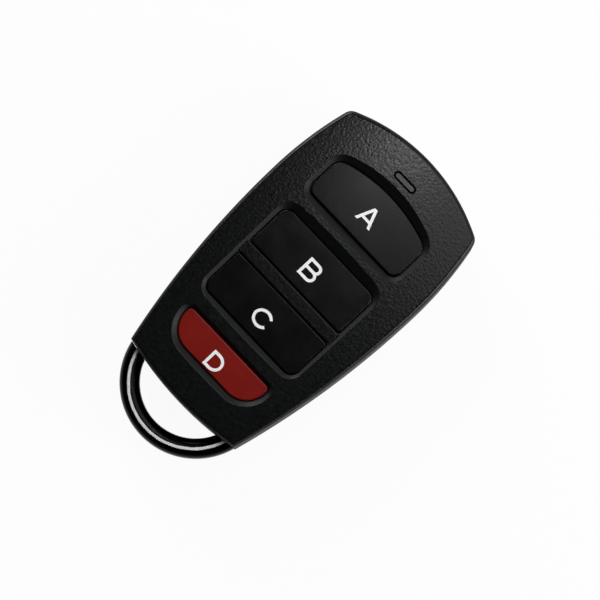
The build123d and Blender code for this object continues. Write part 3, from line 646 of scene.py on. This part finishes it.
class ScrewTree(Tree):
    """The node tree that puts one cross-recess screw on each point."""

    def __init__(self, material):
        super().__init__(bpy.data.node_groups.new("Case screws", "GeometryNodeTree"))
        face = self.tree.interface
        face.new_socket("Geometry", in_out="INPUT", socket_type="NodeSocketGeometry")
        self.sockets = {}
        for name in SCREW_SIZES:
            socket = face.new_socket(title(name), in_out="INPUT",
                                     socket_type="NodeSocketFloat")
            socket.subtype = "DISTANCE"
            socket.default_value = getattr(look("screws"), name)
            self.sockets[name] = socket.identifier
        face.new_socket("Geometry", in_out="OUTPUT", socket_type="NodeSocketGeometry")
        entry = self.node("NodeGroupInput").outputs
        self.given = {name: entry[title(name)] for name in SCREW_SIZES}
        screw = self.join(self.head(), self.shank(), self.thread(), self.point())
        placed = self.node("GeometryNodeInstanceOnPoints", {"Points": entry["Geometry"],
                                                            "Instance": screw})
        real = self.node("GeometryNodeRealizeInstances",
                         {"Geometry": placed.outputs["Instances"]})
        painted = self.node("GeometryNodeSetMaterial", {"Geometry": real.outputs["Geometry"],
                                                        "Material": material})
        self.node("NodeGroupOutput", {"Geometry": painted.outputs["Geometry"]})

    def vector(self, x=0.0, y=0.0, z=0.0):
        """A vector of three values, each a number or an output."""
        return self.node("ShaderNodeCombineXYZ", {"X": x, "Y": y, "Z": z}).outputs["Vector"]

    def join(self, *pieces):
        """Several meshes as one."""
        made = self.node("GeometryNodeJoinGeometry")
        for piece in pieces:
            self.feed(made.inputs["Geometry"], piece)
        return made.outputs["Geometry"]

    def raised(self, mesh, height):
        """A mesh moved up along Z."""
        made = self.node("GeometryNodeTransform", {"Geometry": mesh,
                                                   "Translation": self.vector(z=height)})
        return made.outputs["Geometry"]

    def frustum(self, low_radius, high_radius, height, base, sides):
        """A closed cone, its base at a height along Z."""
        made = self.node("GeometryNodeMeshCone",
                         {"Vertices": sides, "Radius Bottom": low_radius,
                          "Radius Top": high_radius, "Depth": height})
        return self.raised(made.outputs["Mesh"], base)

    def head(self):
        """A pan head, chamfered at its outer edge, with a cross cut into it."""
        radius, chamfer = self.given["head_radius"], self.given["chamfer"]
        rim = self.calc("SUBTRACT", radius, chamfer)
        outer = self.frustum(rim, radius, chamfer, 0.0, HEAD_SIDES)
        body = self.frustum(radius, radius,
                            self.calc("SUBTRACT", self.given["head_height"], chamfer),
                            chamfer, HEAD_SIDES)
        whole = self.node("GeometryNodeMeshBoolean", operation="UNION", solver="EXACT")
        for part in (outer, body):
            self.feed(whole.inputs["Mesh 2"], part)
        cut = self.node("GeometryNodeMeshBoolean", {"Mesh 1": whole.outputs["Mesh"]},
                        operation="DIFFERENCE", solver="EXACT")
        # the arms of the cross lie half above the outer face
        depth = self.calc("MULTIPLY", self.given["recess_depth"], 2.0)
        length, width = self.given["recess_length"], self.given["recess_width"]
        for x, y in ((length, width), (width, length)):
            arm = self.node("GeometryNodeMeshCube", {"Size": self.vector(x, y, depth)})
            self.feed(cut.inputs["Mesh 2"], arm.outputs["Mesh"])
        return cut.outputs["Mesh"]

    def core(self):
        """The radius of the shank under the thread."""
        return self.calc("SUBTRACT", self.given["shank_radius"],
                         self.calc("MULTIPLY", self.given["pitch"], RIDGE))

    def shank(self):
        """The core under the thread."""
        length = self.calc("SUBTRACT", self.given["shank_length"], self.given["pitch"])
        return self.frustum(self.core(), self.core(), length, self.given["head_height"],
                            SHANK_SIDES)

    def point(self):
        """The blunt point, one pitch long."""
        end = self.calc("ADD", self.given["head_height"], self.given["shank_length"])
        return self.frustum(self.core(), self.calc("MULTIPLY", self.core(), POINT_END),
                            self.given["pitch"],
                            self.calc("SUBTRACT", end, self.given["pitch"]), SHANK_SIDES)

    def thread(self):
        """A ridge that winds up the shank, half a pitch short of it at either end."""
        pitch = self.given["pitch"]
        length = self.calc("SUBTRACT", self.given["shank_length"],
                           self.calc("MULTIPLY", pitch, 2.0))
        spiral = self.node("GeometryNodeCurveSpiral",
                           {"Resolution": TURN_STEPS,
                            "Rotations": self.calc("DIVIDE", length, pitch),
                            "Start Radius": self.core(), "End Radius": self.core(),
                            "Height": length})
        section = self.node("GeometryNodeCurvePrimitiveCircle",
                            {"Resolution": 4, "Radius": self.calc("MULTIPLY", pitch, RIDGE)})
        ridge = self.node("GeometryNodeCurveToMesh",
                          {"Curve": spiral.outputs["Curve"],
                           "Profile Curve": section.outputs["Curve"], "Fill Caps": True})
        start = self.calc("ADD", self.given["head_height"], self.calc("MULTIPLY", pitch, 0.5))
        return self.raised(ridge.outputs["Mesh"], start)


def screw_finish():
    """Zinc-plated steel with fine turning marks."""
    made = Finish("Zinc-plated screw steel", tuple(look("screws").metal), roughness=0.34,
                  metallic=1.0)
    made.mottle(width=0.8 * MM, amount=0.12)
    marks = made.noise(0.14 * MM, detail=4.0)
    made.to("Roughness", made.rubbed(marks, smoother=0.08, rougher=0.10))
    made.dent(marks, depth=4.0e-6)
    return made


class REMOTE_OT_screws(bpy.types.Operator):
    """Puts a cross-recess screw in each hole of the back"""
    bl_idname = "remote.screws"
    bl_label = "Fit the screws"

    def execute(self, context):
        finish = screw_finish()
        points = bpy.data.meshes.new("screw_points")
        points.from_pydata(screw_places(), [], [])
        holder = bpy.data.objects.new("screw_points", points)
        context.scene.collection.objects.link(holder)
        tree = ScrewTree(finish.material)
        modifier = holder.modifiers.new("Screws", "NODES")
        modifier.node_group = tree.tree
        for key, identifier in tree.sockets.items():
            modifier[identifier] = getattr(look("screws"), key)
        context.view_layer.update()
        mesh = bpy.data.meshes.new_from_object(holder.evaluated_get(
            context.evaluated_depsgraph_get()))
        holder.modifiers.remove(modifier)
        bpy.data.objects.remove(holder)
        if len(mesh.vertices) < FEWEST_POINTS:
            raise RuntimeError("the screws came out empty")
        piece = new_piece("cross_recess_screws", mesh, finish.material, "root")
        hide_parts("case_screws")
        return {"FINISHED"}


# The board and what stands on it

def metal_finish(name, base, roughness):
    """Plain metal with fine uneven brushing."""
    made = Finish(name, base, roughness, metallic=1.0)
    made.mottle(width=1.2 * MM, amount=0.10)
    marks = made.noise(0.18 * MM, detail=4.0)
    made.to("Roughness", made.rubbed(marks, smoother=0.07, rougher=0.10))
    made.dent(marks, depth=3.0e-6)
    return made


def moulded_finish(name, base, roughness):
    """Plain moulded plastic or ceramic."""
    made = Finish(name, base, roughness)
    made.mottle(width=1.0 * MM, amount=0.10)
    marks = made.noise(0.2 * MM)
    made.to("Roughness", made.rubbed(marks, smoother=0.05, rougher=0.08))
    made.dent(marks, depth=4.0e-6)
    return made


def board_finish():
    """Green solder mask over a fine glass weave."""
    made = Finish("Solder mask", (0.012, 0.105, 0.040), roughness=0.28, Coat_Weight=0.4)
    made.mottle(width=2.5 * MM, amount=0.18)
    weave = made.node("ShaderNodeTexChecker", {"Vector": made.place,
                                               "Scale": 1.0 / (0.35 * MM)})
    made.dent(weave.outputs["Fac"], depth=2.0e-6)
    return made


class REMOTE_OT_inside(bpy.types.Operator):
    """Gives the board, the switches, the cell and the small parts their finishes"""
    bl_idname = "remote.inside"
    bl_label = "Finish the inside"

    def execute(self, context):
        tin = metal_finish("Tinned steel", (0.60, 0.60, 0.58), 0.30)
        nickel = metal_finish("Nickel-plated steel", (0.62, 0.61, 0.58), 0.24)
        copper = metal_finish("Bare copper", (0.62, 0.27, 0.14), 0.32)
        epoxy = moulded_finish("Chip epoxy", (0.018, 0.018, 0.019), 0.55)
        ferrite = moulded_finish("Ferrite", (0.035, 0.032, 0.030), 0.62)
        ceramic = moulded_finish("Fired ceramic", (0.36, 0.24, 0.13), 0.48)
        base = moulded_finish("Switch base plastic", (0.020, 0.020, 0.021), 0.50)
        plunger = moulded_finish("Plunger plastic", (0.52, 0.51, 0.46), 0.42)
        finishes = {"circuit_board": board_finish(), "switch_terminals": tin,
                    "coin_cell": nickel, "battery_clip": tin, "battery_contact": tin,
                    "encoder_chip": epoxy, "resonator": nickel, "rf_transistor": epoxy,
                    "tuning_coil": ferrite, "chip_resistors": epoxy,
                    "chip_capacitors": ceramic, "antenna_loop": copper}
        for letter in KEYS:
            finishes[f"switch_base_{letter}"] = base
            finishes[f"switch_plunger_{letter}"] = plunger
            finishes[f"switch_cover_{letter}"] = tin
        for name, finish in finishes.items():
            finish_node(name, finish)
        return {"FINISHED"}


# edges of a dome sharper than this, in degrees, stay sharp
DOME_CREASE = 30.0


class REMOTE_OT_domes(bpy.types.Operator):
    """Gives each switch a smooth-shaded snap dome, a copy of its CAD dome"""
    bl_idname = "remote.domes"
    bl_label = "Fit the snap domes"

    def execute(self, context):
        spring = metal_finish("Spring steel", (0.60, 0.60, 0.58), 0.22)
        for letter in KEYS:
            node, press = f"snap_dome_{letter}", f"key_{letter}_press"
            work = bmesh.new()
            work.from_mesh(NODES[node].data)
            bmesh.ops.remove_doubles(work, verts=work.verts, dist=MERGE)
            mesh = bpy.data.meshes.new(f"flexing_dome_{letter}")
            work.to_mesh(mesh)
            work.free()
            mesh.shade_smooth()
            mesh.set_sharp_from_angle(angle=math.radians(DOME_CREASE))
            dome = new_piece(f"flexing_dome_{letter}", mesh, spring.material, "root")
            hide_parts(node)
            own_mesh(dome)
        return {"FINISHED"}


# Stage: floor, surroundings, lamps and camera

# half the floor's width, and how far it lies below the remote
FLOOR_HALF, FLOOR_DROP = 1.5, 0.05 * MM
# the strength of the sky at the horizon and overhead, and how far a ray points up where the
# change begins and ends
SKY_STRENGTHS, SKY_HEIGHTS = (0.60, 0.015), (0.05, 0.60)
# the direction of the sky's bright side, the shares of the strength away from it and towards
# it, and how far a ray points that way where the change begins and ends
BRIGHT_SIDE, SKY_SHARES, SKY_SIDES = (-0.35, 0.94, 0.0), (0.12, 1.0), (-0.60, 0.80)
# for each lamp: its name, its place, the point it faces, its width, its height and its power
LAMPS = (("Head softbox", (0.047, 0.205, 0.40), (0.04, 0.10, 0.0), 0.245, 0.27, 0.42),
         ("Crown softbox", (-0.052, 0.120, 0.42), (0.0, 0.03, 0.0), 0.03, 0.03, 0.076),
         ("Left softbox", (-0.55, 0.25, 0.26), (0.0, 0.0, 0.0), 0.40, 0.40, 3.4),
         ("Right softbox", (0.52, 0.24, 0.26), (0.0, 0.0, 0.0), 0.40, 0.40, 3.4))
# width of the camera's sensor in millimetres, and the nearest and farthest points it sees
SENSOR_WIDTH, NEAREST, FARTHEST = 36.0, 0.01, 10.0


def floor_finish(sizes):
    """White paper that keeps a faint shadow, and that doesn't show from below."""
    made = Finish("White floor", tuple(sizes.floor), roughness=0.9, Specular_IOR_Level=0.1)
    # the paper's own white is for the camera, and for mirrored and refracted rays
    path = made.node("ShaderNodeLightPath").outputs
    seen = path["Is Camera Ray"]
    for kind in ("Is Glossy Ray", "Is Transmission Ray"):
        seen = made.calc("MAXIMUM", seen, path[kind])
    white = made.node("ShaderNodeEmission", {"Strength": 1.0})
    paper = made.node("ShaderNodeMixShader", {0: made.calc("MULTIPLY", seen, sizes.floor_glow),
                                              1: made.shader.outputs["BSDF"],
                                              2: white.outputs["Emission"]})
    behind = made.node("ShaderNodeNewGeometry").outputs["Backfacing"]
    clear = made.node("ShaderNodeBsdfTransparent").outputs["BSDF"]
    sides = made.node("ShaderNodeMixShader", {0: behind, 1: paper.outputs["Shader"], 2: clear})
    made.feed(made.tree.nodes["Material Output"].inputs["Surface"], sides.outputs["Shader"])
    return made


def surroundings():
    """A studio that is pale at the horizon, dark overhead and darker towards the tail."""
    world = bpy.data.worlds.new("Studio")
    world.use_nodes = True
    bpy.context.scene.world = world
    sky = Tree(world.node_tree)
    ray = sky.node("ShaderNodeTexCoord").outputs["Generated"]
    side = sky.node("ShaderNodeVectorMath", {0: ray, 1: BRIGHT_SIDE}, operation="DOT_PRODUCT")
    strength = sky.calc(
        "MULTIPLY", sky.spread(sky.axis(ray, "Z"), *SKY_STRENGTHS, *SKY_HEIGHTS, smooth=True),
        sky.spread(side.outputs["Value"], *SKY_SHARES, *SKY_SIDES, smooth=True))
    camera = sky.node("ShaderNodeLightPath").outputs["Is Camera Ray"]
    seen = sky.node("ShaderNodeMix", {"Factor": camera, "A": strength, "B": 1.0},
                    data_type="FLOAT")
    backdrop = sky.tree.nodes["Background"].inputs
    sky.feed(backdrop["Strength"], seen.outputs["Result"])
    sky.feed(backdrop["Color"], (1.0, 1.0, 1.0, 1.0))


def lamp(name, place, aim, width, height, power):
    """A soft rectangular lamp that faces a point."""
    data = bpy.data.lights.new(name, "AREA")
    data.shape = "RECTANGLE"
    data.size = width
    data.size_y = height
    data.energy = power
    made = bpy.data.objects.new(name, data)
    bpy.context.scene.collection.objects.link(made)
    made.location = place
    made.rotation_euler = (Vector(aim) - Vector(place)).to_track_quat("-Z", "Y").to_euler()


class REMOTE_OT_stage(bpy.types.Operator):
    """Lays the floor, hangs the lamps and sets the camera"""
    bl_idname = "remote.stage"
    bl_label = "Set the stage"

    def execute(self, context):
        sizes = look("stage")
        mesh = bpy.data.meshes.new("floor")
        corners = [(x * FLOOR_HALF, y * FLOOR_HALF, -FLOOR_DROP)
                   for x, y in ((-1, -1), (1, -1), (1, 1), (-1, 1))]
        mesh.from_pydata(corners, [], [(0, 1, 2, 3)])
        floor = bpy.data.objects.new("floor", mesh)
        context.scene.collection.objects.link(floor)
        mesh.materials.append(floor_finish(sizes).material)
        surroundings()
        for settings in LAMPS:
            lamp(*settings)
        self.camera(context, sizes)
        context.scene.view_settings.view_transform = "Standard"
        return {"FINISHED"}

    def camera(self, context, sizes):
        """A long lens at the photograph's angle."""
        data = bpy.data.cameras.new("camera")
        data.sensor_width = SENSOR_WIDTH
        data.lens = SENSOR_WIDTH * sizes.distance / sizes.view_width
        data.clip_start = NEAREST
        data.clip_end = FARTHEST
        made = bpy.data.objects.new("camera", data)
        context.scene.collection.objects.link(made)
        flat = math.cos(sizes.elevation)
        away = Vector((math.sin(sizes.azimuth) * flat, -math.cos(sizes.azimuth) * flat,
                       math.sin(sizes.elevation)))
        aim = Vector(sizes.aim)
        right = Vector((math.cos(sizes.azimuth), math.sin(sizes.azimuth), 0.0))
        up = away.cross(right)
        turn = Matrix((right, up, away)).transposed().to_4x4()
        roll = Matrix.Rotation(sizes.roll, 4, "Z")
        made.matrix_world = Matrix.Translation(aim + away * sizes.distance) @ turn @ roll
        context.scene.camera = made


class REMOTE_PT_sidebar(bpy.types.Panel):
    """Lists the sizes and colours of every group, and a button for every step"""
    bl_label = "Gate remote control"
    bl_idname = "REMOTE_PT_sidebar"
    bl_space_type = "VIEW_3D"
    bl_region_type = "UI"
    bl_category = "Remote"

    def draw(self, context):
        for group, kind in GROUPS.items():
            box = self.layout.box()
            box.label(text=group.capitalize())
            for name in kind.__annotations__:
                box.prop(look(group), name)
        for operator in OPERATORS:
            self.layout.operator(operator.bl_idname)


OPERATORS = (REMOTE_OT_case, REMOTE_OT_keys, REMOTE_OT_legends, REMOTE_OT_loop,
             REMOTE_OT_window, REMOTE_OT_screws, REMOTE_OT_inside, REMOTE_OT_domes,
             REMOTE_OT_stage)
CLASSES = (*GROUPS.values(), *OPERATORS, REMOTE_PT_sidebar)


def register():
    """Adds the classes, and the groups of settings to the scene."""
    for kind in CLASSES:
        bpy.utils.register_class(kind)
    for group, kind in GROUPS.items():
        setattr(bpy.types.Scene, f"remote_{group}", PointerProperty(type=kind))


def unregister():
    """Takes away what register adds."""
    for group in GROUPS:
        delattr(bpy.types.Scene, f"remote_{group}")
    for kind in reversed(CLASSES):
        bpy.utils.unregister_class(kind)


def main():
    """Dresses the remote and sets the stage."""
    register()
    for operator in OPERATORS:
        family, name = operator.bl_idname.split(".")
        getattr(getattr(bpy.ops, family), name)()


if __name__ == "__main__":
    main()
